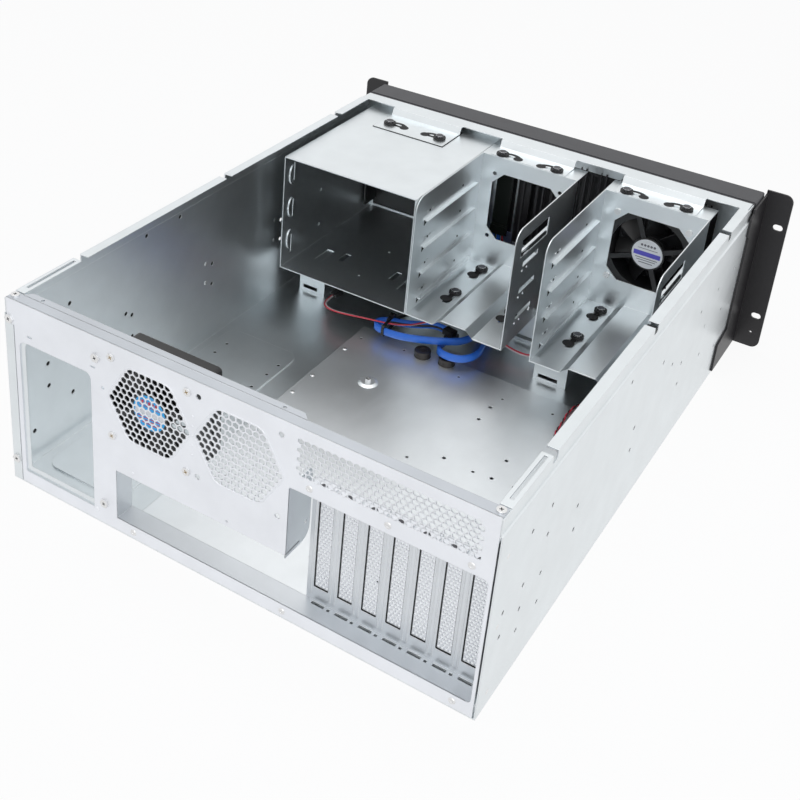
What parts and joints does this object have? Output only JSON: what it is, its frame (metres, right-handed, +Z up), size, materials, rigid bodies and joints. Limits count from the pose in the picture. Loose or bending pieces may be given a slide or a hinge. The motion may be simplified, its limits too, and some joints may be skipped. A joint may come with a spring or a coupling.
{
  "type": "rackmount server case",
  "caption": "Open rackmount server case with drive cages, fan openings, expansion slot covers, rack ears and a hinged front door.",
  "frame": {"origin": "middle of the floor's underside, halfway between the rearmost screw heads and the ears' front faces", "axes": "+Z up, +Y towards the rear panel, +X towards the power supply opening's side"},
  "size_m": [0.4826, 0.5956, 0.177],
  "materials": {
    "zinc_steel": "satin",
    "panel_steel": "satin",
    "black_metal": "matt",
    "grey_frame": "matt",
    "black_plastic": "matt",
    "rubber": "matt",
    "screw_steel": "satin",
    "dark_screw": "satin",
    "lamp": "gloss",
    "board": "matt",
    "blue_jacket": "satin",
    "red_wire": "satin"
  },
  "bodies": {
    "case": {"base_pan": "zinc_steel", "psu_frame": "zinc_steel", "slot_panel": "zinc_steel", "motherboard_tray": "zinc_steel", "drive_bay_cage": "zinc_steel", "disk_cage_middle": "zinc_steel", "disk_cage_right": "zinc_steel", "front_wall": "zinc_steel", "cage_foot_1": "zinc_steel", "cage_foot_2": "zinc_steel", "cage_foot_3": "zinc_steel", "cage_foot_4": "zinc_steel", "cage_foot_5": "zinc_steel", "cage_foot_6": "zinc_steel", "slot_cover_1": "zinc_steel", "slot_cover_2": "zinc_steel", "slot_cover_3": "zinc_steel", "slot_cover_4": "zinc_steel", "slot_cover_5": "zinc_steel", "slot_cover_6": "zinc_steel", "slot_cover_7": "zinc_steel", "rear_panel": "panel_steel", "standoff": "screw_steel", "psu_screws": "screw_steel", "lid_screws": "screw_steel", "rear_fan_screws": "screw_steel", "front_fan_screws": "screw_steel", "hinge_pins": "screw_steel", "tab_screws": "dark_screw", "middle_cage_screws": "dark_screw", "right_cage_screws": "dark_screw", "tab_rubbers": "rubber", "middle_cage_rubbers": "rubber", "right_cage_rubbers": "rubber", "rear_fan_frame": "black_plastic", "front_fan_frame": "black_plastic", "control_panel": "black_plastic", "hinge_blocks": "black_plastic", "bay_cover_1": "black_plastic", "bay_cover_2": "black_plastic", "bay_cover_3": "black_plastic", "ear_left": "black_metal", "ear_right": "black_metal", "front_mesh": "black_metal", "bezel_frame": "grey_frame", "status_lamps": "lamp", "control_board": "board", "blue_cable": "blue_jacket", "blue_loop": "blue_jacket", "fan_lead": "red_wire", "switch_lead": "red_wire", "cable_plugs": "black_plastic", "cable_tie": "black_plastic", "cable_rests": "rubber"},
    "rear_rotor": {"rear_fan_rotor": "black_plastic"},
    "front_rotor": {"front_fan_rotor": "black_plastic"},
    "door": {"front_door": "grey_frame"},
    "lock": {"door_lock": "screw_steel"},
    "power_key": {"power_button": "black_plastic"},
    "reset_key": {"reset_button": "black_plastic"}
  },
  "joints": [
    {"name": "rear_fan_spin", "type": "hinge", "parent": "case", "child": "rear_rotor", "pos_m": [0.0705, 0.2812, 0.128], "axis": [0, 1, 0], "continuous": true},
    {"name": "front_fan_spin", "type": "hinge", "parent": "case", "child": "front_rotor", "pos_m": [-0.1348, -0.2218, 0.1137], "axis": [0, 1, 0], "continuous": true},
    {"name": "door_hinge", "type": "hinge", "parent": "case", "child": "door", "pos_m": [0.184, -0.2825, 0.088], "axis": [0, 0, 1], "range_deg": [0, 105]},
    {"name": "lock_turn", "type": "hinge", "parent": "door", "child": "lock", "pos_m": [-0.175, -0.287, 0.088], "axis": [0, -1, 0], "range_deg": [0, 90]},
    {"name": "power_press", "type": "slide", "parent": "case", "child": "power_key", "axis": [0, 1, 0], "range_m": [0, 0.002], "stiffness_N_per_m": 600},
    {"name": "reset_press", "type": "slide", "parent": "case", "child": "reset_key", "axis": [0, 1, 0], "range_m": [0, 0.002], "stiffness_N_per_m": 600}
  ]
}
